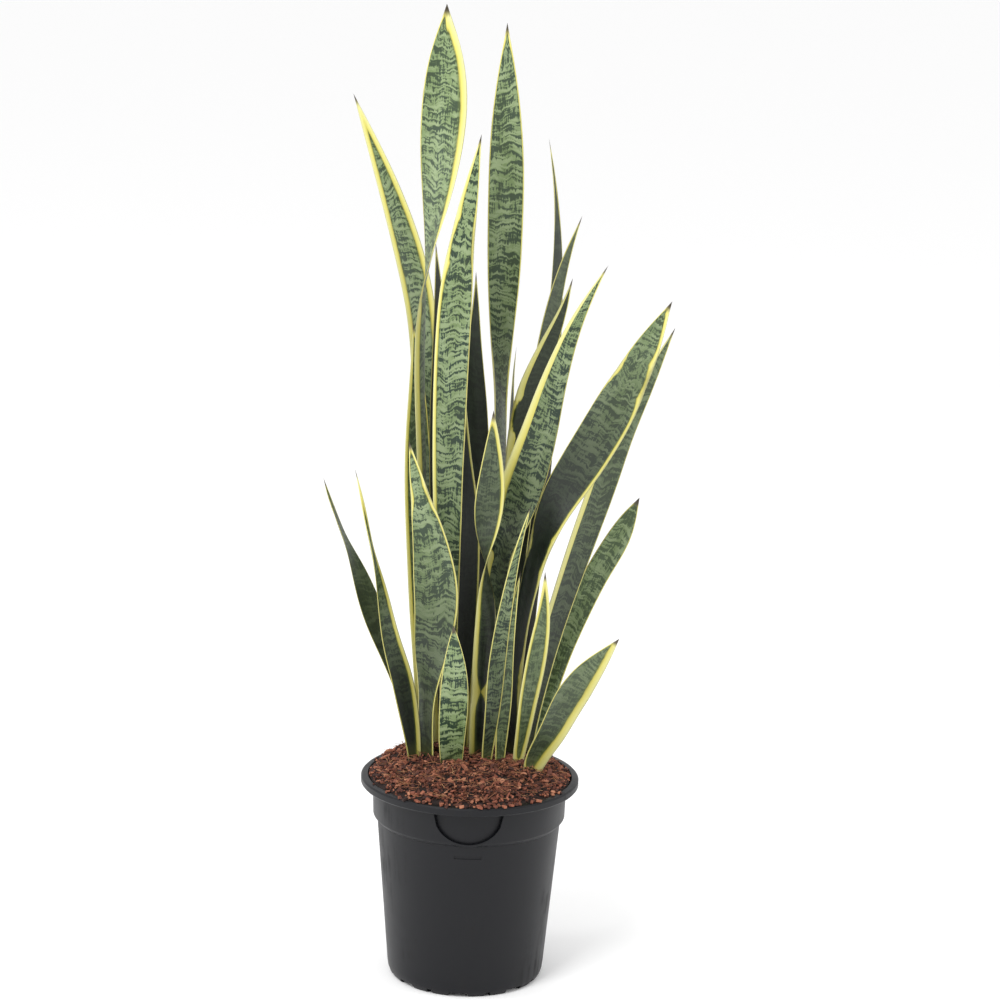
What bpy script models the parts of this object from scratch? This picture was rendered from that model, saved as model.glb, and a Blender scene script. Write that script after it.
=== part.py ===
"""A potted snake plant: a plastic nursery pot, the soil in it, and the leaves growing from the soil.

The origin is the middle of the pot's base, on the floor. +Z is up, -Y is the front, +X is to the right.
"""

import math

import bmesh
import bpy
from mathutils import Vector, noise

MM = 0.001

# The pot, in mm.
POT_SIDES = 96
RIM_RADIUS = 105
RIM_TOP = 200.5
RIM_HEIGHT = 8
COLLAR_RADIUS = 93.5
COLLAR_BOTTOM = 162
BODY_TOP_RADIUS = 88.5
BODY_TOP = 157
BODY_BOTTOM_RADIUS = 76
BODY_BOTTOM = 13
FOOT_RADIUS = 71
WALL = 1.8
PAD_RADIUS = 40
CHANNEL_OUTER_RADIUS = 66
CHANNEL_HEIGHT = 4.5
NOTCH_HEIGHT = 4.2
NOTCH_PAIRS = 8
NARROW_NOTCH = 5
WIDE_NOTCH = 18
FIRST_NARROW_NOTCH = 18
NOTCH_REACH = 16
HOLE_COUNT = 8
HOLE_RADIUS = 4
HOLE_CIRCLE = 54
HOLE_SIDES = 16
RECESS_WIDTH = 67
RECESS_HEIGHT = 31
SLOT_WIDTH = 28
SLOT_HEIGHT = 3
SLOT_DEPTH = 0.8
SLOT_Z = 146
SLOT_STEPS = 10
BOSS_WALL = 2
LIP_WIDTH = 8.2

# The soil, in mm.
SOIL_GAP = 0.5
SOIL_EDGE = 199.5
SOIL_CROWN = 214
SOIL_SIDES = 72
SOIL_RINGS = 12
SOIL_LUMPS = 4
SOIL_LUMP_SPACING = 17
SOIL_GRAINS = 2
SOIL_GRAIN_SPACING = 8
HEAP_HEIGHT = 6
HEAP_X = -60
HEAP_Y = 42
HEAP_SPREAD = 26.5
SOCKET_GAP = 0.5
SOCKET_REACH = 2.5

# The leaves, in mm and degrees.
LEAF_RINGS = 16
LEAF_THICKNESS = 2.2
ROOT_THICKNESS = 3.4
MARGIN_THICKNESS = 0.9
ROOT_BOTTOM = 172
BLADE_ARC = 22
ROOT_ARC = 50
ROOT_SHARE = 0.35
TIP_SHARE = 0.1
SHOULDER = 0.62
ROUND_THE_BLADE = (
    (-1, 0), (-SHOULDER, 0.5), (0, 0.5), (SHOULDER, 0.5),
    (1, 0), (SHOULDER, -0.5), (0, -0.5), (-SHOULDER, -0.5),
)
SOCKET_LENGTH = 75

# Each leaf: its width, where along it that width is, the share of it left at the neck, how blunt the point
# is (1 tapers straight, 2 is round), and its line.
# A row of the line is x, y, z and the way the leaf faces: 0 is the front, 90 is the right.
LEAVES = {
    "leaf_tall_left": (48, 0.88, 0.42, 1.9, [
        (-39, 30, ROOT_BOTTOM, -100), (-40, 30, 215, -100), (-47, 28, 365, -102), (-54, 29, 520, -102),
        (-57, 31, 640, -102), (-52, 31, 692, -88), (-46, 29, 738, -62), (-42, 26, 790, -34),
        (-39, 22, 850, -8), (-40, 15, 936, 0),
    ]),
    "leaf_tall_right": (36, 0.8, 0.5, 1.9, [
        (19, 63, ROOT_BOTTOM, -10), (19, 64, 215, -14), (23, 78, 400, -46), (22, 78, 515, -68),
        (20, 70, 600, -54), (20, 58, 690, -18), (19, 48, 800, 0), (16, 40, 918, 4),
    ]),
    "leaf_left_lean": (34, 0.75, 0.45, 1.5, [
        (-30, 66, ROOT_BOTTOM, 10), (-31, 67, 215, 12), (-43, 84, 354, 20), (-52, 104, 527, 26),
        (-60, 114, 636, 30), (-83, 120, 720, 32), (-105, 124, 780, 32), (-129, 126, 839, 32),
    ]),
    "leaf_centre_broad": (34, 0.72, 0.5, 1.7, [
        (-21, 26, ROOT_BOTTOM, 0), (-21, 25, 215, 0), (-26, 14, 350, 0), (-28, 8, 470, 0),
        (-28, 4, 570, 0), (-26, 2, 660, 0), (-20, 0, 725, 0), (-5, 0, 819, 0),
    ]),
    "leaf_back_spike": (32, 0.66, 0.4, 1.0, [
        (46, 64, ROOT_BOTTOM, -40), (47, 66, 215, -42), (59, 108, 388, -48), (67, 128, 526, -54),
        (72, 140, 624, -56), (73, 146, 684, -58), (69, 150, 743, -60), (60, 152, 798, -60),
    ]),
    "leaf_back_dark": (28, 0.72, 0.42, 1.5, [
        (30, 74, ROOT_BOTTOM, -34), (31, 75, 215, -36), (46, 97, 388, -42), (56, 110, 526, -45),
        (66, 118, 615, -45), (76, 120, 671, -46), (85, 121, 704, -46), (94, 121, 728, -46),
    ]),
    "leaf_inner_right": (34, 0.7, 0.45, 1.3, [
        (28, 44, ROOT_BOTTOM, -10), (28, 45, 215, -10), (33, 56, 360, -10), (41, 59, 480, -15),
        (45, 59, 550, -20), (61, 58, 605, -20), (77, 56, 645, -25), (85, 56, 678, -30),
    ]),
    "leaf_right_broad": (46, 0.56, 0.32, 1.15, [
        (8, 40, ROOT_BOTTOM, -4), (9, 40, 215, -6), (14, 34, 325, -42), (24, 30, 415, -58),
        (38, 26, 465, -26), (52, 21, 515, -6), (70, 15, 590, 0), (88, 10, 645, 0), (116, 0, 700, 0),
    ]),
    "leaf_great_right": (43, 0.74, 0.42, 1.9, [
        (38, 26, ROOT_BOTTOM, -20), (39, 26, 215, -24), (43, 16, 317, -54), (52, 8, 386, -62),
        (70, -2, 460, -46), (90, -13, 501, -20), (115, -26, 548, -4), (140, -41, 603, -8),
        (173, -64, 679, -14),
    ]),
    "leaf_right_behind": (36, 0.68, 0.45, 1.6, [
        (53, 42, ROOT_BOTTOM, 14), (53, 42, 215, 16), (71, 51, 310, 28), (100, 60, 413, 35),
        (118, 64, 469, 35), (134, 67, 521, 34), (157, 70, 570, 32), (185, 71, 630, 30),
    ]),
    "leaf_right_spoon": (26, 0.82, 0.4, 1.9, [
        (66, 52, ROOT_BOTTOM, -20), (66, 53, 215, -20), (78, 66, 270, -20), (97, 79, 329, -18),
        (119, 90, 379, -16), (141, 100, 417, -14), (159, 110, 453, -12),
    ]),
    "leaf_right_low": (36, 0.62, 0.5, 1.6, [
        (57, -10, ROOT_BOTTOM, 14), (60, -12, 212, 14), (77, -26, 253, 18), (90, -38, 286, 20),
        (103, -50, 313, 18), (117, -60, 334, 14), (136, -74, 361, 10),
    ]),
    "leaf_far_left": (26, 0.6, 0.36, 1.2, [
        (-50, 38, ROOT_BOTTOM, 26), (-52, 38, 215, 28), (-74, 44, 288, 36), (-97, 52, 341, 38),
        (-113, 58, 382, 52), (-130, 62, 423, 84), (-143, 64, 456, 52), (-149, 65, 475, 44),
    ]),
    "leaf_near_left": (25, 0.35, 0.5, 1.2, [
        (-53, 10, ROOT_BOTTOM, 26), (-54, 10, 212, 28), (-66, 2, 287, 34), (-79, -6, 333, 38),
        (-89, -14, 387, 54), (-98, -21, 428, 86), (-106, -28, 469, 52), (-115, -34, 508, 44),
    ]),
    "leaf_left_broad": (44, 0.6, 0.42, 1.25, [
        (-42, 12, ROOT_BOTTOM, -30), (-42, 12, 212, -36), (-43, 2, 275, -56), (-40, -7, 322, -30),
        (-36, -17, 376, -2), (-44, -28, 440, 4), (-54, -36, 485, 6), (-65, -44, 538, 8),
    ]),
    "leaf_front_short": (29, 0.55, 0.68, 2.2, [
        (-18, -2, ROOT_BOTTOM, 0), (-18, -4, 207, 0), (-18, -17, 240, 0), (-17, -28, 278, 0),
        (-17, -36, 309, 0), (-18, -42, 337, 0), (-19, -46, 362, 0),
    ]),
    "leaf_centre_twist": (32, 0.74, 0.45, 1.6, [
        (5, 20, ROOT_BOTTOM, -172), (5, 20, 208, -170), (8, 8, 283, -160), (12, -2, 365, -136),
        (9, -5, 410, -92), (10, -6, 446, -40), (13, -8, 494, -4), (13, -10, 533, 0), (13, -12, 562, 0),
    ]),
    "leaf_left_back": (28, 0.66, 0.5, 1.6, [
        (-46, 52, ROOT_BOTTOM, 0), (-46, 53, 215, 0), (-53, 66, 356, 4), (-57, 71, 455, 6),
        (-60, 73, 534, 8), (-62, 72, 582, 10), (-66, 69, 629, 10),
    ]),
    "leaf_centre_shadow": (34, 0.66, 0.42, 1.4, [
        (1, 60, ROOT_BOTTOM, -30), (1, 60, 215, -32), (2, 62, 360, -40), (-1, 64, 509, -40),
        (-5, 64, 596, -40), (-7, 62, 681, -40),
    ]),
    "leaf_back_sliver": (22, 0.6, 0.45, 1.2, [
        (13, 77, ROOT_BOTTOM, -40), (14, 78, 215, -44), (31, 98, 388, -60), (32, 104, 517, -64),
        (32, 105, 568, -64), (34, 105, 602, -66),
    ]),
    "leaf_front_slim": (19, 0.45, 0.55, 1.5, [
        (14, 4, ROOT_BOTTOM, 24), (15, 4, 211, 24), (19, -4, 259, 24), (24, -13, 329, 24),
        (31, -19, 381, 22), (39, -23, 430, 20), (51, -26, 476, 18),
    ]),
    "leaf_front_small": (14, 0.45, 0.6, 1.5, [
        (28, 6, ROOT_BOTTOM, 6), (29, 6, 211, 6), (31, -1, 270, 4), (34, -9, 330, 0),
        (38, -13, 372, -4), (43, -15, 409, -6),
    ]),
    "leaf_base_yellow": (20, 0.6, 0.5, 1.8, [
        (45, 4, ROOT_BOTTOM, 12), (46, 4, 212, 10), (52, -6, 261, 6), (61, -14, 324, 0),
        (66, -16, 369, -4), (66, -17, 409, -6),
    ]),
    "leaf_mid_shadow": (26, 0.62, 0.55, 1.3, [
        (-9, 43, ROOT_BOTTOM, 0), (-9, 43, 215, 0), (-8, 38, 325, 0), (-9, 32, 445, 0),
        (-14, 29, 514, 0), (-15, 27, 578, 0),
    ]),
    "leaf_dark_back": (34, 0.62, 0.42, 1.5, [
        (-26, 50, ROOT_BOTTOM, 30), (-26, 50, 215, 32), (-33, 57, 361, 42), (-37, 62, 510, 45),
        (-40, 64, 617, 45), (-46, 63, 708, 45),
    ]),
}


def clear_scene():
    for obj in list(bpy.data.objects):
        bpy.data.objects.remove(obj)


def plain_material(name, colour, roughness):
    material = bpy.data.materials.new(name)
    material.use_nodes = True
    shader = material.node_tree.nodes["Principled BSDF"]
    shader.inputs["Base Color"].default_value = (*colour, 1)
    shader.inputs["Roughness"].default_value = roughness
    shader.inputs["Metallic"].default_value = 0
    return material


def add_object(name, verts, faces, material=None):
    """A new object from points in mm. Without a material it is a cutter, which isn't rendered."""
    mesh = bpy.data.meshes.new(name)
    mesh.from_pydata([Vector(v) * MM for v in verts], [], faces)
    obj = bpy.data.objects.new(name, mesh)
    bpy.context.scene.collection.objects.link(obj)
    if material:
        mesh.materials.append(material)
    else:
        obj.hide_render = True
        obj.display_type = "WIRE"
    return obj


def lathe(name, profile, sides, material=None):
    """A solid of revolution. Its profile of (radius, z) starts and ends on the axis, bottom first."""
    rings = profile[1:-1]
    verts = [(0, 0, profile[0][1]), (0, 0, profile[-1][1])]
    for radius, z in rings:
        for i in range(sides):
            angle = math.tau * i / sides
            verts.append((radius * math.cos(angle), radius * math.sin(angle), z))
    faces = []
    for i in range(sides):
        j = (i + 1) % sides
        faces.append((0, 2 + j, 2 + i))
        for ring in range(len(rings) - 1):
            low = 2 + ring * sides
            high = low + sides
            faces.append((low + i, low + j, high + j, high + i))
        last = 2 + (len(rings) - 1) * sides
        faces.append((last + i, last + j, 1))
    return add_object(name, verts, faces, material)


def cut(obj, cutter):
    modifier = obj.modifiers.new(cutter.name, "BOOLEAN")
    modifier.operation = "DIFFERENCE"
    modifier.solver = "EXACT"
    modifier.object = cutter


def cut_all(obj, cutters, name):
    """Cuts each of the cutters from the object at once."""
    group = bpy.data.collections.new(name)
    group.hide_render = True
    for cutter in cutters:
        group.objects.link(cutter)
    modifier = obj.modifiers.new(name, "BOOLEAN")
    modifier.operation = "DIFFERENCE"
    modifier.solver = "EXACT"
    modifier.operand_type = "COLLECTION"
    modifier.collection = group


def turned_out(obj):
    """Turns every face of the closed mesh outwards."""
    tidy = bmesh.new()
    tidy.from_mesh(obj.data)
    bmesh.ops.recalc_face_normals(tidy, faces=tidy.faces)
    tidy.to_mesh(obj.data)
    tidy.free()
    return obj


def prism(name, outline, top_offset):
    """A cutter: an outline of points, pushed along top_offset."""
    count = len(outline)
    verts = [Vector(point) for point in outline]
    verts += [point + Vector(top_offset) for point in verts]
    faces = [tuple(range(count)), tuple(reversed(range(count, 2 * count)))]
    for i in range(count):
        j = (i + 1) % count
        faces.append((i, count + i, count + j, j))
    return turned_out(add_object(name, verts, faces))


def front_plate(name, width, top, drops, inner, outer):
    """A curved plate round the pot's front, between two radii. The drops are its heights, left to right."""
    verts = []
    for i, drop in enumerate(drops):
        angle = width * (i / (len(drops) - 1) - 0.5) / COLLAR_RADIUS
        for radius, z in ((inner, top), (outer, top), (outer, top - drop), (inner, top - drop)):
            verts.append((radius * math.sin(angle), -radius * math.cos(angle), z))
    faces = [(0, 1, 2, 3)]
    for i in range(len(drops) - 1):
        for k in range(4):
            m = (k + 1) % 4
            faces.append((4 * i + k, 4 * i + 4 + k, 4 * i + 4 + m, 4 * i + m))
    end = 4 * (len(drops) - 1)
    faces.append((end + 3, end + 2, end + 1, end))
    return turned_out(add_object(name, verts, faces))


def half_round(height, steps=26):
    """The drops of a half-round plate, flat side up."""
    drops = []
    for i in range(steps + 1):
        across = 2 * i / steps - 1
        drops.append(4 + (height - 4) * math.sqrt(1 - across * across))
    return drops


def inner_wall(gap):
    """The (radius, z) profile of the pot's inside from the bottom up, this gap smaller all round."""
    return [
        (0, CHANNEL_HEIGHT + 2 + gap),
        (FOOT_RADIUS - WALL - gap, CHANNEL_HEIGHT + 2 + gap),
        (BODY_BOTTOM_RADIUS - WALL - gap, BODY_BOTTOM + gap),
        (BODY_TOP_RADIUS - WALL - gap, BODY_TOP + 1),
        (COLLAR_RADIUS - 1 - WALL - gap, COLLAR_BOTTOM + 2),
        (COLLAR_RADIUS - WALL - gap, RIM_TOP - RIM_HEIGHT - 1),
        (RIM_RADIUS - LIP_WIDTH - gap, RIM_TOP - RIM_HEIGHT / 2),
    ]


def make_pot():
    material = plain_material("pot plastic", (0.031, 0.033, 0.036), 0.42)
    rim_bottom = RIM_TOP - RIM_HEIGHT
    outside = [
        (0, 0),
        (PAD_RADIUS, 0),
        (PAD_RADIUS + 3, CHANNEL_HEIGHT),
        (CHANNEL_OUTER_RADIUS - 1, CHANNEL_HEIGHT),
        (CHANNEL_OUTER_RADIUS, 0),
        (FOOT_RADIUS, 0),
        (FOOT_RADIUS + 2.4, 2.4),
        (FOOT_RADIUS + 4.2, 7),
        (BODY_BOTTOM_RADIUS, BODY_BOTTOM),
        (BODY_TOP_RADIUS, BODY_TOP),
        (BODY_TOP_RADIUS + 1.2, BODY_TOP + 1.2),
        (COLLAR_RADIUS - 1.6, COLLAR_BOTTOM - 1.4),
        (COLLAR_RADIUS - 0.9, COLLAR_BOTTOM),
        (COLLAR_RADIUS, rim_bottom - 1),
        (COLLAR_RADIUS + 1, rim_bottom),
        (RIM_RADIUS - 1, rim_bottom),
        (RIM_RADIUS, rim_bottom + 1.2),
        (RIM_RADIUS, RIM_TOP - 1.8),
        (RIM_RADIUS - 1.4, RIM_TOP - 0.4),
        (RIM_RADIUS - 3.5, RIM_TOP),
        (RIM_RADIUS - 6.4, RIM_TOP),
        (RIM_RADIUS - 7.4, RIM_TOP - 1),
    ]
    pot = lathe("pot", outside + inner_wall(0)[::-1], POT_SIDES, material)
    recess_back = BODY_TOP_RADIUS + 0.4
    boss = front_plate(
        "recess_boss",
        RECESS_WIDTH + 2 * BOSS_WALL,
        rim_bottom + 0.6,
        half_round(RECESS_HEIGHT + 3.6),
        recess_back - WALL,
        COLLAR_RADIUS - 0.9,
    )
    join = pot.modifiers.new("recess_boss", "BOOLEAN")
    join.operation = "UNION"
    join.solver = "EXACT"
    join.object = boss
    recess = front_plate(
        "recess", RECESS_WIDTH, rim_bottom - 1, half_round(RECESS_HEIGHT), recess_back, RIM_RADIUS
    )
    cut(pot, recess)
    slope = (BODY_TOP_RADIUS - BODY_BOTTOM_RADIUS) / (BODY_TOP - BODY_BOTTOM)
    slot_back = BODY_BOTTOM_RADIUS + slope * (SLOT_Z - BODY_BOTTOM) - SLOT_DEPTH
    slot_drops = [SLOT_HEIGHT] * (SLOT_STEPS + 1)
    slot = front_plate("slot", SLOT_WIDTH, SLOT_Z + SLOT_HEIGHT / 2, slot_drops, slot_back, RIM_RADIUS)
    cutters = [slot]
    for i in range(NOTCH_PAIRS):
        for kind, width, shift in (("narrow", NARROW_NOTCH, 0), ("wide", WIDE_NOTCH, 180 / NOTCH_PAIRS)):
            turn = math.radians(FIRST_NARROW_NOTCH + shift + 360 / NOTCH_PAIRS * i)
            out = Vector((math.sin(turn), -math.cos(turn), 0))
            across = Vector((math.cos(turn), math.sin(turn), 0)) * width / 2
            start = out * (CHANNEL_OUTER_RADIUS - 3)
            low = start + Vector((0, 0, -2))
            high = start + Vector((0, 0, NOTCH_HEIGHT))
            outline = [low - across, low + across, high + across, high - across]
            cutters.append(prism(f"notch_{kind}_{i}", outline, out * NOTCH_REACH))
    for i in range(HOLE_COUNT):
        turn = math.tau * (i + 0.5) / HOLE_COUNT
        outline = []
        for k in range(HOLE_SIDES):
            angle = math.tau * k / HOLE_SIDES
            x = HOLE_CIRCLE * math.cos(turn) + HOLE_RADIUS * math.cos(angle)
            y = HOLE_CIRCLE * math.sin(turn) + HOLE_RADIUS * math.sin(angle)
            outline.append((x, y, 2))
        cutters.append(prism(f"hole_{i}", outline, (0, 0, 8)))
    cut_all(pot, cutters, "pot_cutters")


def soil_height(x, y, edge):
    """The lumpy top of the soil: domed, higher at the back left, level with the rim at its edge."""
    share = min(1.0, math.hypot(x, y) / edge)
    dome = SOIL_EDGE + (SOIL_CROWN - SOIL_EDGE) * (1 - share**2.4)
    heap = HEAP_HEIGHT * math.exp(-((x - HEAP_X) ** 2 + (y - HEAP_Y) ** 2) / HEAP_SPREAD**2)
    lumps = SOIL_LUMPS * noise.noise(Vector((x, y, 3)) / SOIL_LUMP_SPACING)
    grains = SOIL_GRAINS * noise.noise(Vector((x, y, 9)) / SOIL_GRAIN_SPACING)
    return dome + heap + (lumps + grains) * (1 - share**6)


def make_soil(sockets):
    material = plain_material("potting mix", (0.13, 0.055, 0.035), 0.95)
    side = inner_wall(SOIL_GAP)
    edge = side[-1][0]
    profile = side[1:]
    verts = [(0, 0, side[0][1])]
    for radius, z in profile:
        for i in range(SOIL_SIDES):
            angle = math.tau * i / SOIL_SIDES
            verts.append((radius * math.cos(angle), radius * math.sin(angle), z))
    for ring in range(SOIL_RINGS):
        radius = edge * (1 - ring / SOIL_RINGS) + 0.4 * (ring == 0)
        for i in range(SOIL_SIDES):
            angle = math.tau * i / SOIL_SIDES
            x = radius * math.cos(angle)
            y = radius * math.sin(angle)
            verts.append((x, y, soil_height(x, y, edge)))
    verts.append((0, 0, soil_height(0, 0, edge)))
    faces = []
    rings = len(profile) + SOIL_RINGS
    top = len(verts) - 1
    for i in range(SOIL_SIDES):
        j = (i + 1) % SOIL_SIDES
        faces.append((0, 1 + j, 1 + i))
        for ring in range(rings - 1):
            low = 1 + ring * SOIL_SIDES
            high = low + SOIL_SIDES
            faces.append((low + i, low + j, high + j, high + i))
        last = 1 + (rings - 1) * SOIL_SIDES
        faces.append((last + i, last + j, top))
    soil = add_object("soil", verts, faces, material)
    clear = front_plate(
        "boss_clearance",
        RECESS_WIDTH + 7,
        RIM_TOP - RIM_HEIGHT + 1.3,
        half_round(RECESS_HEIGHT + 6),
        BODY_TOP_RADIUS + 0.4 - WALL - SOIL_GAP,
        RIM_RADIUS,
    )
    cut(soil, clear)
    for socket in sockets:
        cut(soil, socket)


def smooth(share):
    share = min(1.0, max(0.0, share))
    return share * share * (3 - 2 * share)


def along(rows, shares, share):
    """The rows' values at this share of the way, on a smooth curve through them."""
    last = len(rows) - 2
    k = 0
    while k < last and share > shares[k + 1]:
        k += 1
    span = shares[k + 1] - shares[k]
    t = (share - shares[k]) / span
    values = []
    for column in range(len(rows[0])):
        here = rows[k][column]
        there = rows[k + 1][column]
        slope_here = (there - here) / span
        slope_there = slope_here
        if k > 0:
            slope_here = (there - rows[k - 1][column]) / (shares[k + 1] - shares[k - 1])
        if k < last:
            slope_there = (rows[k + 2][column] - here) / (shares[k + 2] - shares[k])
        a = span * slope_here
        b = span * slope_there
        values.append(
            here * (2 * t**3 - 3 * t**2 + 1)
            + a * (t**3 - 2 * t**2 + t)
            + there * (3 * t**2 - 2 * t**3)
            + b * (t**3 - t**2)
        )
    return values


def leaf_mesh(spec, grow=0.0, until=1.0):
    """The points and faces of a leaf, this much larger all round, up to this share of its length."""
    width, widest, neck, point, rows = spec
    shares = [0.0]
    for before, after in zip(rows, rows[1:]):
        shares.append(shares[-1] + (Vector(after[:3]) - Vector(before[:3])).length)
    shares = [share / shares[-1] for share in shares]
    verts = []
    stations = [i / LEAF_RINGS for i in range(LEAF_RINGS) if i / LEAF_RINGS < until]
    for share in stations:
        x, y, z, turn = along(rows, shares, share)
        ahead = Vector(along(rows, shares, min(1.0, share + 0.01))[:3])
        behind = Vector(along(rows, shares, max(0.0, share - 0.01))[:3])
        tangent = (ahead - behind).normalized() if share else Vector((0, 0, 1))
        if share == 0:
            z -= grow
        facing = Vector((math.sin(math.radians(turn)), -math.cos(math.radians(turn)), 0))
        normal = (facing - tangent * facing.dot(tangent)).normalized()
        side = tangent.cross(normal)
        if share < widest:
            swell = neck + (1 - neck) * smooth(share / widest)
        else:
            swell = 1 - ((share - widest) / (1 - widest)) ** point
        half = width / 2 * swell
        root = 1 - smooth(share / ROOT_SHARE)
        arc = math.radians(BLADE_ARC + (ROOT_ARC - BLADE_ARC) * root)
        radius = half / arc
        stretch = 1 + SOCKET_REACH * grow / half
        taper = min(1.0, (1 - share) / TIP_SHARE)
        middle = (LEAF_THICKNESS + (ROOT_THICKNESS - LEAF_THICKNESS) * root) * taper + 2 * grow
        edge = MARGIN_THICKNESS * taper + 2 * grow
        centre = Vector((x, y, z))
        sag = radius * (1 - math.cos(arc)) / 2
        for u, lift in ROUND_THE_BLADE:
            thickness = edge + (middle - edge) * (1 - abs(u)) ** 0.7
            bend = arc * u * stretch
            reach = radius * math.sin(bend)
            depth = radius * (1 - math.cos(bend)) - sag
            away = thickness * lift
            verts.append(
                centre
                + side * (reach - away * math.sin(bend))
                + normal * (depth + away * math.cos(bend))
            )
    count = len(ROUND_THE_BLADE)
    faces = [tuple(range(count))]
    rings = len(stations)
    # Both sides of the blade are split along the same diagonals, so that they can't cross where it twists.
    for ring in range(rings - 1):
        for i in range(count):
            j = (i + 1) % count
            low = ring * count
            high = low + count
            if i < count // 2:
                faces += [(low + i, high + i, high + j), (low + i, high + j, low + j)]
            else:
                faces += [(low + i, high + i, low + j), (high + i, high + j, low + j)]
    last = (rings - 1) * count
    if until < 1:
        faces.append(tuple(reversed(range(last, last + count))))
        return verts, faces
    verts.append(Vector(rows[-1][:3]))
    for i in range(count):
        j = (i + 1) % count
        faces.append((last + i, len(verts) - 1, last + j))
    return verts, faces


def socket_share(rows):
    """The share of a leaf's length that is well clear of the soil."""
    lengths = [(Vector(b[:3]) - Vector(a[:3])).length for a, b in zip(rows, rows[1:])]
    return min(0.6, SOCKET_LENGTH / sum(lengths) + 1 / LEAF_RINGS)


def make_leaves():
    material = plain_material("leaf", (0.10, 0.17, 0.09), 0.45)
    cutters = []
    for name, spec in LEAVES.items():
        turned_out(add_object(name, *leaf_mesh(spec), material))
        verts, faces = leaf_mesh(spec, SOCKET_GAP, socket_share(spec[-1]))
        cutters.append(turned_out(add_object(f"{name}_socket", verts, faces)))
    return cutters


clear_scene()
make_pot()
make_soil(make_leaves())
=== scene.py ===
"""The looks of the potted snake plant: its leaves, its potting mix and its pot, built round the frame.

Every added piece rides on the plant's one body. The blades and the pot's shell take the place of their CAD
nodes. The mix's CAD node stays, under the loose bark and coir that is laid on it.
"""

import math
import random

import bmesh
import bpy
from mathutils import Matrix, Vector, noise
from mathutils.bvhtree import BVHTree


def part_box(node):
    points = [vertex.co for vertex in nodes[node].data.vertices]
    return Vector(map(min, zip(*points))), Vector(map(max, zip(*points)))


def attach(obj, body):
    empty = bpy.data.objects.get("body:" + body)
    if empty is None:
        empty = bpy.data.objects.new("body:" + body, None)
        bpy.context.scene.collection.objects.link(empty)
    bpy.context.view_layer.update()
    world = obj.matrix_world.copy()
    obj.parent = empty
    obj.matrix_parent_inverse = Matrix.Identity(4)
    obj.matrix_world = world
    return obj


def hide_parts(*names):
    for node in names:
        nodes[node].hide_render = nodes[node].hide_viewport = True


MM = 0.001

# How each leaf has grown, and its painted shade: the widths of its left and right borders in mm, how much
# painted shade darkens its green at the foot and at the point (0 is fresh grey-green, 1 or more is almost
# black), and how strongly its bands show.
LEAF_GROWTH_AND_SHADE = {
    "leaf_tall_left": (1.4, 8.5, 1.0, 0.0, 0.9),
    "leaf_tall_right": (1.4, 1.6, 0.85, 0.12, 0.9),
    "leaf_left_lean": (6.0, 6.0, 0.5, 0.15, 0.9),
    "leaf_centre_broad": (3.4, 1.2, 0.55, 0.1, 1.0),
    "leaf_back_spike": (1.0, 1.0, 0.95, 0.75, 0.5),
    "leaf_back_dark": (1.6, 1.0, 0.95, 0.6, 0.5),
    "leaf_inner_right": (8.0, 1.0, 0.95, 0.8, 0.4),
    "leaf_right_broad": (8.5, 1.0, 1.0, 0.1, 1.0),
    "leaf_great_right": (0.8, 3.4, 1.8, 0.2, 0.8),
    "leaf_right_behind": (13.0, 1.0, 0.9, 0.45, 0.7),
    "leaf_right_spoon": (1.2, 1.2, 0.2, 0.15, 0.7),
    "leaf_right_low": (1.4, 7.5, 0.8, 0.4, 0.6),
    "leaf_far_left": (0.8, 0.8, 1.0, 0.5, 0.5),
    "leaf_near_left": (1.2, 3.6, 1.15, 0.2, 0.8),
    "leaf_left_broad": (1.0, 2.1, 0.95, 0.1, 0.9),
    "leaf_front_short": (0.9, 0.9, 0.0, 0.0, 1.0),
    "leaf_centre_twist": (1.4, 4.2, 1.0, 0.6, 0.7),
    "leaf_left_back": (3.5, 1.6, 0.8, 0.5, 0.7),
    "leaf_centre_shadow": (1.3, 1.2, 1.0, 0.85, 0.4),
    "leaf_back_sliver": (0.8, 0.8, 1.0, 0.8, 0.4),
    "leaf_front_slim": (1.2, 1.0, 0.8, 0.25, 1.0),
    "leaf_front_small": (1.0, 1.0, 0.55, 0.4, 0.8),
    "leaf_base_yellow": (2.6, 3.4, 0.6, 0.45, 0.6),
    "leaf_mid_shadow": (1.2, 2.0, 1.0, 0.95, 0.4),
    "leaf_dark_back": (1.3, 1.3, 1.0, 0.9, 0.4),
}

# A leaf's ring of points, as shares of the half width, starting at one border, and what is written on each.
SHOULDER = 0.616
ROUND_THE_BLADE = (-1, -SHOULDER, 0, SHOULDER, 1, SHOULDER, 0, -SHOULDER)
GROWTH_AND_SHADE_LAYERS = ("border", "tip_mm", "deep", "banding", "seed")
FAR_BORDER = 4
BORDER_CREASE = 0.85
SEED_STEP = 7.3

# The seed of the noise that waves the blades and breaks the lumps, so that every run gives the same plant.
NOISE_SEED = 4

# In mm: how close points are merged, how level a leaf's root is, and how far and how often a blade waves.
SAME_PLACE = 0.001
ROOT_FLATNESS = 0.02
LEAF_WAVE = 0.8
LEAF_WAVE_LENGTH = 55

# The pot's edges turn by more than this many degrees.
POT_SHARP_EDGE = 32

# The loose top of the mix, with its places in mm. Lumps are broken by a share of their least side.
CRUMB_COUNT = 3400
CHIP_COUNT = 240
FIBRE_COUNT = 1100
SPILL_COUNT = 60
FIBRE_STEPS = 5
LOWEST_TOP = 190
BREAKS_PER_METRE = 1900
BREAK_SHARE = 0.45
RIM_WIDTH = 10

# The camera and the studio, in metres, degrees and mm of lens.
CAMERA_PLACE = (0, -3.0, 1.19)
CAMERA_AIM = (0.0215, 0, 0.473)
CAMERA_ROLL = 1.64
CAMERA_LENS = 117.4
FLOOR_RADIUS = 14

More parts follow.
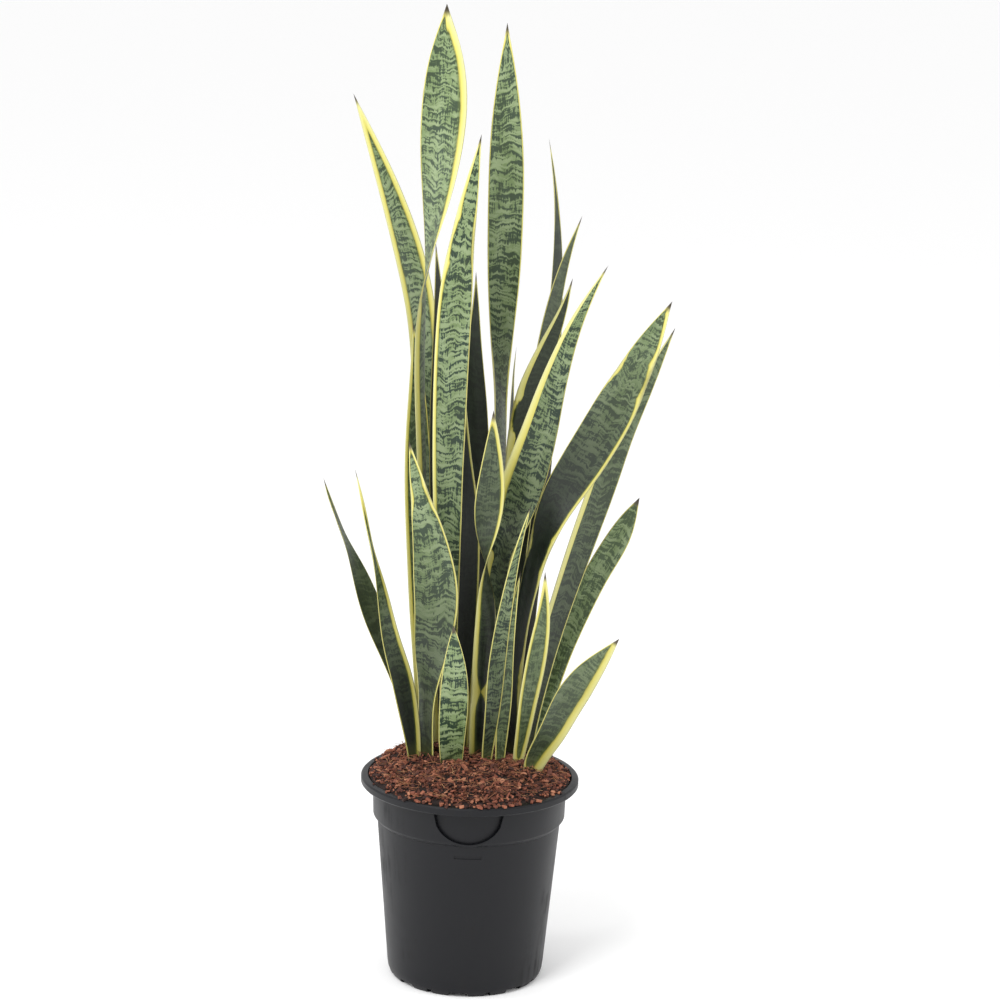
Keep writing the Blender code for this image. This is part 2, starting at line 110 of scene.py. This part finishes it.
# Each light panel: where it stands, what it faces, its size and its power in watts.
PANELS = {
    "key": ((-1.3, -2.0, 2.6), (0, 0, 0.5), (1.2, 1.2), 55),
    "left panel": ((-1.8, -0.3, 0.7), (0, 0, 0.4), (0.5, 1.8), 10),
    "right panel": ((1.9, -0.6, 0.7), (0, 0, 0.3), (0.4, 1.8), 10),
}

ADD = {"operation": "ADD"}
MULTIPLY = {"operation": "MULTIPLY"}
MULTIPLY_ADD = {"operation": "MULTIPLY_ADD"}
STEP = {"interpolation_type": "SMOOTHSTEP"}

# A colour mix takes its two colours at inputs 6 and 7, and gives them mixed at output 2.
MIX = {"data_type": "RGBA"}
MIXED = 2


def linear(hex_colour):
    """An sRGB hex colour as linear RGBA."""
    channels = [int(hex_colour[i:i + 2], 16) / 255 for i in (1, 3, 5)]
    return [c / 12.92 if c <= 0.04045 else ((c + 0.055) / 1.055) ** 2.4 for c in channels] + [1.0]


def feed(tree, made, inputs):
    """Fills a node's inputs by name or number, each with a value, a hex colour or a node's output."""
    for name, value in inputs.items():
        if isinstance(value, bpy.types.NodeSocket):
            tree.links.new(value, made.inputs[name])
        else:
            made.inputs[name].default_value = linear(value) if isinstance(value, str) else value


def add(tree, kind, settings, inputs, output=0):
    """Adds a node with its settings and inputs, and gives back one of its outputs. A ramp has stops."""
    made = tree.nodes.new("ShaderNode" + kind)
    for name, value in settings.items():
        if name != "stops":
            setattr(made, name, value)
            continue
        while len(made.color_ramp.elements) < len(value):
            made.color_ramp.elements.new(0.5)
        for element, (place, colour) in zip(made.color_ramp.elements, value):
            element.position = place
            element.color = linear(colour)
    feed(tree, made, inputs)
    return made.outputs[output]


def new_material(name):
    """An empty material, with its tree and its shader."""
    material = bpy.data.materials.new(name)
    material.use_nodes = True
    tree = material.node_tree
    return material, tree, tree.nodes["Principled BSDF"]


def blotches(tree, place, seed, across, along, detail, roughness):
    """Noise over a blade, in blotches this many mm across it and along it. The seed sets leaves apart."""
    squeezed = add(tree, "VectorMath", MULTIPLY, {0: place, 1: (1 / across, 1 / along, 0)})
    grain = {"Vector": squeezed, "W": seed, "Scale": 1, "Detail": detail, "Roughness": roughness}
    return add(tree, "TexNoise", {"noise_dimensions": "4D"}, grain)


def green_of(tree, mottle, dark_bands, pale_bands, banding, depth):
    """The blade's green: grey-green with dark bands, or where no light comes in, a blackish green."""
    ground_stops = [(0.3, "#65794B"), (0.5, "#788B5E"), (0.7, "#8B9C74")]
    ground = add(tree, "ValToRGB", {"stops": ground_stops}, {0: mottle})
    pale = add(tree, "Math", MULTIPLY, {0: pale_bands, 1: 0.4})
    ground = add(tree, "Mix", MIX, {0: pale, 6: ground, 7: "#9CAA84"}, MIXED)
    dark = add(tree, "ValToRGB", {"stops": [(0.35, "#263620"), (0.6, "#24382A")]}, {0: mottle})
    strength = add(tree, "Math", MULTIPLY, {0: dark_bands, 1: banding})
    fresh = add(tree, "Mix", MIX, {0: strength, 6: ground, 7: dark}, MIXED)
    # Painted shade: a blackish green, with the dark bands showing faintly in it.
    faint = add(tree, "Math", MULTIPLY, {0: dark_bands, 1: 0.6})
    shaded = add(tree, "Mix", MIX, {0: faint, 6: "#121B12", 7: "#060A07"}, MIXED)
    return add(tree, "Mix", MIX, {0: depth, 6: fresh, 7: shaded}, MIXED)


def yellow_of(tree, border, depth):
    """The border's yellow: palest at the very edge, deepest by the green, and duller in the shade."""
    stops = [(0.0, "#CFCD96"), (0.3, "#DAD68A"), (0.75, "#D1C864"), (1.0, "#9C9440")]
    yellow = add(tree, "ValToRGB", {"stops": stops}, {0: border})
    dull = add(tree, "Mix", MIX, {0: 0.62, 6: yellow, 7: "#6D6528"}, MIXED)
    shade = add(tree, "Math", MULTIPLY, {0: depth, 1: 0.5})
    return add(tree, "Mix", MIX, {0: shade, 6: yellow, 7: dull}, MIXED)


def waxy_cuticle():
    """A succulent leaf's waxy skin: a broad soft sheen over grey-green, with dark cross bands that short
    upright dashes break up, butter-yellow borders lined with olive, and a dry brown point."""
    material, tree, shader = new_material("waxy variegated cuticle")
    grain = add(tree, "Attribute", {"attribute_name": "grain"}, {}, "Vector")
    border, tip, deep, banding, seed = (
        add(tree, "Attribute", {"attribute_name": name}, {}, "Fac")
        for name in GROWTH_AND_SHADE_LAYERS
    )
    across = add(tree, "SeparateXYZ", {}, {0: grain}, "X")
    along = add(tree, "SeparateXYZ", {}, {0: grain}, "Y")
    dashes = blotches(tree, grain, seed, 1.667, 10, 3, 0.65)
    sway = blotches(tree, grain, seed, 14.29, 50, 1, 0.5)
    mottle = blotches(tree, grain, seed, 20, 83.33, 3, 0.5)
    ridges = blotches(tree, grain, seed, 1.111, 50, 2, 0.5)

    # The dashes and the slow sway push the bands up and down the blade by a few mm.
    swayed = add(tree, "Math", MULTIPLY, {0: sway, 1: 22})
    shift = add(tree, "Math", MULTIPLY_ADD, {0: dashes, 1: 7, 2: swayed})
    height = add(tree, "Math", ADD, {0: along, 1: shift})
    bent = add(tree, "CombineXYZ", {}, {"X": across, "Y": height})
    bands = blotches(tree, bent, seed, 20, 2.941, 1.5, 0.55)
    loose = add(tree, "Math", ADD, {0: dashes, 1: -0.5})
    broken = add(tree, "Math", MULTIPLY_ADD, {0: loose, 1: 0.75, 2: bands})
    dark_bands = add(tree, "MapRange", STEP, {"Value": broken, "From Min": 0.47, "From Max": 0.56})
    pale_bands = add(tree, "MapRange", STEP, {"Value": bands, "From Min": 0.46, "From Max": 0.38})
    # Painted shade: how far this part of the blade is darkened towards a blackish green, and its border
    # dulled.
    depth = add(tree, "MapRange", STEP, {"Value": deep, "From Min": 0, "From Max": 1})
    green = green_of(tree, mottle, dark_bands, pale_bands, banding, depth)

    # The border's inner edge is uneven, with a thin olive line along it.
    ragged = add(tree, "Math", MULTIPLY_ADD, {0: loose, 1: 0.35, 2: border})
    near = add(tree, "MapRange", STEP, {"Value": ragged, "From Min": 1.5, "From Max": 1.05})
    olive = add(tree, "Math", MULTIPLY, {0: near, 1: 0.55})
    lined = add(tree, "Mix", MIX, {0: olive, 6: green, 7: "#4F5C22"}, MIXED)
    within = add(tree, "MapRange", STEP, {"Value": ragged, "From Min": 1.08, "From Max": 0.94})
    bordered = add(tree, "Mix", MIX, {0: within, 6: lined, 7: yellow_of(tree, border, depth)}, MIXED)

    # The foot is paler, where the mix kept it from the light, and the last few mm of the point are withered.
    low = add(tree, "MapRange", STEP, {"Value": along, "From Min": 62, "From Max": 40})
    foot = add(tree, "Math", MULTIPLY, {0: low, 1: 0.15})
    footed = add(tree, "Mix", MIX, {0: foot, 6: bordered, 7: "#8E9450"}, MIXED)
    withered = add(tree, "MapRange", STEP, {"Value": tip, "From Min": 11, "From Max": 4})
    colour = add(tree, "Mix", MIX, {0: withered, 6: footed, 7: "#4B4335"}, MIXED)

    # Fine lengthwise ridges about 1 mm apart, and bands that stand a hair proud.
    rough = add(tree, "MapRange", {}, {"Value": mottle, "To Min": 0.34, "To Max": 0.5})
    relief = add(tree, "Math", MULTIPLY_ADD, {0: bands, 1: 0.8, 2: ridges})
    bump = add(tree, "Bump", {}, {"Strength": 0.35, "Distance": 0.6 * MM, "Height": relief})
    feed(tree, shader, {"Base Color": colour, "Roughness": rough, "IOR": 1.45, "Normal": bump})
    return material


def moulded_polypropylene():
    """Injection-moulded polypropylene, made black with carbon: a soft satin, with a faint grain from the
    mould. Dust and dried drips dull it a little in upright streaks."""
    material, tree, shader = new_material("black moulded polypropylene")
    place = add(tree, "TexCoord", {}, {}, "Object")
    cloud_look = {"Vector": place, "Scale": 1 / (45.45 * MM), "Detail": 5, "Roughness": 0.6}
    cloud = add(tree, "TexNoise", {}, cloud_look)
    upright = (1 / (7.143 * MM), 1 / (7.143 * MM), 1 / (111.1 * MM))
    drawn_out = add(tree, "VectorMath", MULTIPLY, {0: place, 1: upright})
    streaks = add(tree, "TexNoise", {}, {"Vector": drawn_out, "Scale": 1, "Detail": 3})
    cloudy = add(tree, "MapRange", STEP, {"Value": cloud, "From Min": 0.45, "From Max": 0.75})
    streaky = add(tree, "MapRange", STEP, {"Value": streaks, "From Min": 0.42, "From Max": 0.7})
    dust = add(tree, "Math", MULTIPLY, {0: cloudy, 1: streaky})
    thin_dust = add(tree, "Math", MULTIPLY, {0: dust, 1: 0.35})
    colour = add(tree, "Mix", MIX, {0: thin_dust, 6: "#090A0F", 7: "#22211F"}, MIXED)
    satin = add(tree, "MapRange", {}, {"Value": cloud, "To Min": 0.36, "To Max": 0.5})
    rough = add(tree, "Math", MULTIPLY_ADD, {0: dust, 1: 0.25, 2: satin})
    mould_grain = add(tree, "TexNoise", {}, {"Vector": place, "Scale": 1 / (1.111 * MM), "Detail": 2})
    bump = add(tree, "Bump", {}, {"Strength": 0.12, "Distance": 0.4 * MM, "Height": mould_grain})
    look = {"Base Color": colour, "Roughness": rough, "IOR": 1.49, "Specular IOR Level": 0.3, "Normal": bump}
    feed(tree, shader, look)
    return material


def mix_stuff(name, stops, bump, blotch, roughness):
    """Dry, dull, mottled stuff of the mix. Bump and blotch are in mm, and each bit has its own tint."""
    material, tree, shader = new_material(name)
    place = add(tree, "TexCoord", {}, {}, "Object")
    mottle_look = {"Vector": place, "Scale": 1 / (blotch * MM), "Detail": 4, "Roughness": 0.65}
    mottle = add(tree, "TexNoise", {}, mottle_look)
    tint = add(tree, "Attribute", {"attribute_name": "tint"}, {}, "Fac")
    tinted = add(tree, "Math", MULTIPLY, {0: tint, 1: 0.7})
    shade = add(tree, "Math", MULTIPLY_ADD, {0: mottle, 1: 0.4, 2: tinted})
    colour = add(tree, "ValToRGB", {"stops": stops}, {0: shade})
    relief = add(tree, "Bump", {}, {"Strength": 0.7, "Distance": bump * MM, "Height": mottle})
    feed(tree, shader, {"Base Color": colour, "Roughness": roughness, "Normal": relief})
    return material


def finished(name, bm, material):
    """Makes the bmesh an object that rides on the plant's one body."""
    mesh = bpy.data.meshes.new(name)
    bm.to_mesh(mesh)
    bm.free()
    mesh.materials.append(material)
    piece = bpy.data.objects.new(name, mesh)
    bpy.context.scene.collection.objects.link(piece)
    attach(piece, "root")
    return piece


def merged_copy(cad):
    """The CAD node's mesh with its loose triangles joined up."""
    bm = bmesh.new()
    bm.from_mesh(cad.data)
    bmesh.ops.remove_doubles(bm, verts=bm.verts, dist=SAME_PLACE * MM)
    bm.verts.ensure_lookup_table()
    return bm


def runs_round(edge, layer):
    """Whether the edge is one of the ring's own, and not one across its cap or up the blade."""
    in_layer = [v in layer for v in edge.verts]
    return all(in_layer) and any(v not in layer for face in edge.link_faces for v in face.verts)


def rings_of(bm):
    """The leaf's rings of points from its root to its point, each in order round the blade from one border.

    The last is the point alone. The root is the lowest ring, and each next ring is what that one touches."""
    floor = min(v.co.z for v in bm.verts)
    layer = [v for v in bm.verts if v.co.z < floor + ROOT_FLATNESS * MM]
    seen = set(layer)
    rings = []
    while len(layer) > 1:
        pairs = ((v, w) for v in layer for w in layer)
        borders = max(pairs, key=lambda pair: (pair[0].co - pair[1].co).length_squared)
        start = min(borders, key=lambda v: (v.co - rings[-1][0].co).length if rings else v.index)
        ring = [start]
        while len(ring) < len(layer):
            ways = [e.other_vert(ring[-1]) for e in ring[-1].link_edges if runs_round(e, layer)]
            ways = [v for v in ways if v not in ring]
            if len(ring) == 1 and rings:
                ways.sort(key=lambda v: (v.co - rings[-1][1].co).length)
            ring.append(ways[0])
        rings.append(ring)
        touched = {e.other_vert(v) for v in layer for e in v.link_edges} - seen
        layer = sorted(touched, key=lambda v: v.index)
        seen |= touched
    return rings + [layer]


def middle_of(ring):
    return sum((v.co for v in ring), Vector()) / len(ring)


def starts_at_left(ring, above):
    """Whether the ring starts at the left border, seen from the blade's hollow side with its point up."""
    side = ring[FAR_BORDER].co - ring[0].co
    up = middle_of(above) - middle_of(ring)
    hollow = (ring[0].co + ring[FAR_BORDER].co) / 2 - middle_of(ring)
    return side.cross(up).dot(hollow) > 0


def write_growth_and_shade(rings, layers, growth_and_shade, seed):
    """Writes on each point of the leaf where it is on the blade, in mm, how that part has grown, and how
    much painted shade darkens it.
    """
    left_border, right_border, painted_shade_foot, painted_shade_tip, banding = growth_and_shade
    lengths = [0.0]
    for below, above in zip(rings, rings[1:]):
        lengths.append(lengths[-1] + (middle_of(above) - middle_of(below)).length)
    half_way = len(rings) // 2 - 1
    turned = 1 if starts_at_left(rings[half_way], rings[half_way + 1]) else -1
    for ring, length in zip(rings, lengths):
        half_width = (ring[FAR_BORDER].co - ring[0].co).length / 2 if len(ring) > 1 else 0.0
        share = length / lengths[-1]
        for i, v in enumerate(ring):
            across = turned * ROUND_THE_BLADE[i] if len(ring) > 1 else 0.0
            border = left_border if across < 0 else right_border
            v[layers["grain"]] = (across * half_width / MM, length / MM, 0)
            v[layers["border"]] = (1 - abs(across)) * half_width / MM / border * (0.75 + 0.5 * share)
            v[layers["tip_mm"]] = (lengths[-1] - length) / MM
            # Painted shade: how much this part is darkened, from the foot's value to the point's.
            v[layers["deep"]] = painted_shade_foot + (painted_shade_tip - painted_shade_foot) * share
            v[layers["banding"]] = banding
            v[layers["seed"]] = seed


def make_blade(cad, material, index):
    """A smooth, gently wavy blade on the CAD leaf's own rings, with its growth and its painted shade written
    on its points.
    """
    bm = merged_copy(cad)
    layers = {name: bm.verts.layers.float.new(name) for name in GROWTH_AND_SHADE_LAYERS}
    layers["grain"] = bm.verts.layers.float_vector.new("grain")
    pinned = bm.verts.layers.float.new("crease_vert")
    crease = bm.edges.layers.float.new("crease_edge")
    rings = rings_of(bm)
    write_growth_and_shade(rings, layers, LEAF_GROWTH_AND_SHADE[cad.name], index * SEED_STEP)
    point = rings[-1][0]
    point[pinned] = 1.0
    spots = {v: (r, i) for r, ring in enumerate(rings) for i, v in enumerate(ring)}
    diagonals = []
    for edge in bm.edges:
        (ring, i), (other_ring, j) = (spots[v] for v in edge.verts)
        around = (i - j) % len(ROUND_THE_BLADE)
        if point in edge.verts:
            edge[crease] = BORDER_CREASE * (i + j in (0, FAR_BORDER))
        elif ring != other_ring and i == j:
            edge[crease] = BORDER_CREASE * (i in (0, FAR_BORDER))
        elif ring != other_ring or around not in (1, len(ROUND_THE_BLADE) - 1):
            diagonals.append(edge)
    bmesh.ops.dissolve_edges(bm, edges=diagonals)
    for v in bm.verts:
        wave = noise.noise_vector(v.co / (LEAF_WAVE_LENGTH * MM) + Vector((index * 3, 0, 0)))
        if v is not point:
            v.co += wave * LEAF_WAVE * MM
    for face in bm.faces:
        face.smooth = True
    blade = finished(cad.name + "_blade", bm, material)
    rounding = blade.modifiers.new("smooth blade", "SUBSURF")
    rounding.levels = 2
    rounding.render_levels = 2
    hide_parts(cad.name)


def make_pot_shell(cad, material):
    """The moulded pot with its facets smoothed and its edges kept crisp."""
    bm = merged_copy(cad)
    for face in bm.faces:
        face.smooth = True
    for edge in bm.edges:
        edge.smooth = edge.calc_face_angle(math.pi) < math.radians(POT_SHARP_EDGE)
    shell = finished("pot_shell", bm, material)
    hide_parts("pot")


def lay(heap, bit, place, tint, broken=0.0):
    """Lays a bit of the mix on the heap, with its own tint and its faces broken by this much."""
    layer = bit.verts.layers.float.new("tint")
    bmesh.ops.transform(bit, matrix=place, verts=bit.verts)
    for v in bit.verts:
        v.co += noise.noise_vector(v.co * BREAKS_PER_METRE) * broken
        v[layer] = tint
    mesh = bpy.data.meshes.new("bit")
    bit.to_mesh(mesh)
    bit.free()
    heap.from_mesh(mesh)
    bpy.data.meshes.remove(mesh)


def lay_lump(heap, centre, turn, size, tint):
    """One broken lump or flake, of this size in metres: a block with its corners pushed about."""
    block = bmesh.new()
    bmesh.ops.create_cube(block, size=1.0)
    place = Matrix.Translation(centre) @ turn @ Matrix.Diagonal((*size, 1))
    lay(heap, block, place, tint, min(size) * BREAK_SHARE)


def lay_hair(heap, start, turn, length, thick, bend, tint):
    """One coir hair: a thin three-sided rod, curved and drawn out at its ends."""
    hair = bmesh.new()
    bmesh.ops.create_cone(
        hair, cap_ends=True, segments=3, radius1=thick / 2, radius2=thick / 2, depth=length
    )
    sides = [edge for edge in hair.edges if edge.calc_length() > length / 2]
    bmesh.ops.subdivide_edges(hair, edges=sides, cuts=FIBRE_STEPS - 1)
    for v in hair.verts:
        share = v.co.z / length
        v.co.x = v.co.x * (1 - abs(share)) + bend * length * (share * share - 0.25)
        v.co.y = v.co.y * (1 - abs(share)) + 0.2 * bend * length * math.sin(share * 6)
    lay(heap, hair, Matrix.Translation(start) @ turn, tint)


def top_of(mix, x, y):
    """Where the mix's top is at (x, y). None over a leaf's socket."""
    hit, _, _, _ = mix.ray_cast(Vector((x, y, 0.4)), Vector((0, 0, -1)))
    return hit if hit and hit.z > LOWEST_TOP * MM else None


def scattered(rng, count, reach):
    """Evenly scattered points in a disc."""
    for _ in range(count):
        radius = reach * math.sqrt(rng.random())
        angle = rng.uniform(0, math.tau)
        yield radius * math.cos(angle), radius * math.sin(angle)


def any_turn(rng, tilt):
    """A turn about the vertical, tipped by up to tilt."""
    return (
        Matrix.Rotation(rng.uniform(0, math.tau), 4, "Z")
        @ Matrix.Rotation(rng.uniform(-tilt, tilt), 4, "X")
        @ Matrix.Rotation(rng.uniform(-tilt, tilt), 4, "Y")
    )


def make_crumbs(mix, reach, material):
    """The loose top of the mix: short lumps of bark lying every way."""
    rng = random.Random(11)
    heap = bmesh.new()
    for x, y in scattered(rng, CRUMB_COUNT, reach):
        hit = top_of(mix, x, y)
        if hit is None:
            continue
        length = rng.uniform(1.4, 1.9 + 3.2 * rng.random()) * MM
        size = (length, length * rng.uniform(0.4, 0.75), length * rng.uniform(0.3, 0.6))
        lift = Vector((0, 0, rng.uniform(0.0, 3.0) * MM))
        lay_lump(heap, hit + lift, any_turn(rng, 0.9), size, rng.random())
    finished("bark_crumbs", heap, material)


def make_chips(mix, reach, material):
    """Bigger flat flakes of bark, lying loosely on the crumbs."""
    rng = random.Random(23)
    heap = bmesh.new()
    for x, y in scattered(rng, CHIP_COUNT, reach - 3 * MM):
        hit = top_of(mix, x, y)
        if hit is None:
            continue
        length = rng.uniform(5, 10) * MM
        size = (length, length * rng.uniform(0.25, 0.5), rng.uniform(0.9, 2.0) * MM)
        lift = Vector((0, 0, rng.uniform(1.0, 3.2) * MM))
        lay_lump(heap, hit + lift, any_turn(rng, 0.6), size, rng.random())
    bmesh.ops.subdivide_edges(heap, edges=heap.edges[:], cuts=1)
    bmesh.ops.smooth_vert(
        heap, verts=heap.verts, factor=0.35, use_axis_x=True, use_axis_y=True, use_axis_z=True
    )
    finished("bark_chips", heap, material)


def make_fibres(mix, reach, material):
    """Coir hairs lying on the mix, some of them bridging lumps."""
    rng = random.Random(37)
    heap = bmesh.new()
    lay_down = Matrix.Rotation(math.radians(90), 4, "Y")
    for x, y in scattered(rng, FIBRE_COUNT, reach - 6 * MM):
        hit = top_of(mix, x, y)
        if hit is None:
            continue
        start = hit + Vector((0, 0, rng.uniform(1.8, 4.2) * MM))
        turn = any_turn(rng, 0.3) @ lay_down
        length = rng.uniform(7, 18) * MM
        thick = rng.uniform(0.45, 0.9) * MM
        lay_hair(heap, start, turn, length, thick, rng.uniform(-0.5, 0.5), rng.random())
    finished("coir_fibres", heap, material)


def make_spill(rim_radius, rim_top, material):
    """Crumbs that lie on the pot's rim, most of them at the front."""
    rng = random.Random(5)
    heap = bmesh.new()
    for _ in range(SPILL_COUNT):
        angle = math.radians(-90 + rng.gauss(0, 34))
        radius = rim_radius - RIM_WIDTH / 2 * MM + rng.uniform(-3, 3) * MM
        length = rng.uniform(1.8, 5.0) * MM
        size = (length, length * 0.6, length * 0.45)
        centre = Vector((radius * math.cos(angle), radius * math.sin(angle), rim_top + length * 0.2))
        lay_lump(heap, centre, any_turn(rng, 0.3), size, rng.random())
    finished("spilt_crumbs", heap, material)


def make_mix(cad):
    """The potting mix: the CAD root ball in damp peat, and what lies loose on it."""
    bark = [
        (0.1, "#140A07"), (0.3, "#351A13"), (0.5, "#5C3123"),
        (0.7, "#854B36"), (0.88, "#A87054"), (1.0, "#C09A78"),
    ]
    coir = [(0.1, "#32180F"), (0.5, "#653624"), (0.8, "#93603F"), (1.0, "#BE976C")]
    peat = [(0.1, "#140B08"), (0.4, "#2E1811"), (0.8, "#5A3021")]
    cad.data.materials.clear()
    cad.data.materials.append(mix_stuff("damp peat", peat, 1.2, 3.0, 0.95))
    joined = merged_copy(cad)
    top = BVHTree.FromBMesh(joined)
    joined.free()
    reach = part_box("soil")[1].x
    crumb_bark = mix_stuff("composted pine bark", bark, 0.3, 2.0, 0.85)
    make_crumbs(top, reach, crumb_bark)
    make_chips(top, reach, mix_stuff("bark flakes", bark, 0.25, 3.0, 0.8))
    make_fibres(top, reach, mix_stuff("coir hair", coir, 0.1, 4.0, 0.7))
    pot_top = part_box("pot")[1]
    make_spill(pot_top.x, pot_top.z, crumb_bark)


def faced(place, aim):
    """The turn that faces something at this place towards aim."""
    return (Vector(aim) - Vector(place)).to_track_quat("-Z", "Y").to_matrix().to_4x4()


def placed(name, data, matrix):
    """Puts a camera or a light in the scene."""
    thing = bpy.data.objects.new(name, data)
    thing.matrix_world = matrix
    bpy.context.scene.collection.objects.link(thing)
    return thing


def make_camera():
    """Stands 3 m in front of the plant and a little above it, looking slightly down."""
    data = bpy.data.cameras.new("camera")
    data.lens = CAMERA_LENS
    roll = Matrix.Rotation(math.radians(CAMERA_ROLL), 4, "Z")
    stand = Matrix.Translation(CAMERA_PLACE) @ faced(CAMERA_PLACE, CAMERA_AIM) @ roll
    bpy.context.scene.camera = placed("camera", data, stand)


def make_floor():
    """A wide floor of matt white paper."""
    bm = bmesh.new()
    bmesh.ops.create_circle(bm, cap_ends=True, segments=96, radius=FLOOR_RADIUS)
    mesh = bpy.data.meshes.new("floor")
    bm.to_mesh(mesh)
    bm.free()
    floor = bpy.data.objects.new("floor", mesh)
    bpy.context.scene.collection.objects.link(floor)
    material, tree, shader = new_material("matt white paper")
    feed(tree, shader, {"Base Color": "#FBFBFB", "Roughness": 0.9})
    mesh.materials.append(material)


def make_lights():
    """White surroundings, a high soft key from the front left, and a panel at each side."""
    world = bpy.data.worlds.new("studio")
    world.use_nodes = True
    feed(world.node_tree, world.node_tree.nodes["Background"], {"Color": "#FFFFFF", "Strength": 1.0})
    bpy.context.scene.world = world
    bpy.context.scene.view_settings.view_transform = "Standard"
    for name, (place, aim, size, power) in PANELS.items():
        data = bpy.data.lights.new(name, "AREA")
        data.shape = "RECTANGLE"
        data.size, data.size_y = size
        data.energy = power
        placed(name, data, Matrix.Translation(place) @ faced(place, aim))


noise.seed_set(NOISE_SEED)
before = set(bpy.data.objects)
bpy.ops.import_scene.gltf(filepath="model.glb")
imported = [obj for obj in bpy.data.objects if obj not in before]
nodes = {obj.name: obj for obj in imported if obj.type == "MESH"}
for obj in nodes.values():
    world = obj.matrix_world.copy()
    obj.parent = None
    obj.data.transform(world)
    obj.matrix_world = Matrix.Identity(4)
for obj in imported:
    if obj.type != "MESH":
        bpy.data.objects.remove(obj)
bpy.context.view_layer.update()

make_camera()
make_floor()
make_lights()

cuticle = waxy_cuticle()
for number, leaf_name in enumerate(sorted(LEAF_GROWTH_AND_SHADE)):
    make_blade(nodes[leaf_name], cuticle, number)
make_pot_shell(nodes["pot"], moulded_polypropylene())
make_mix(nodes["soil"])
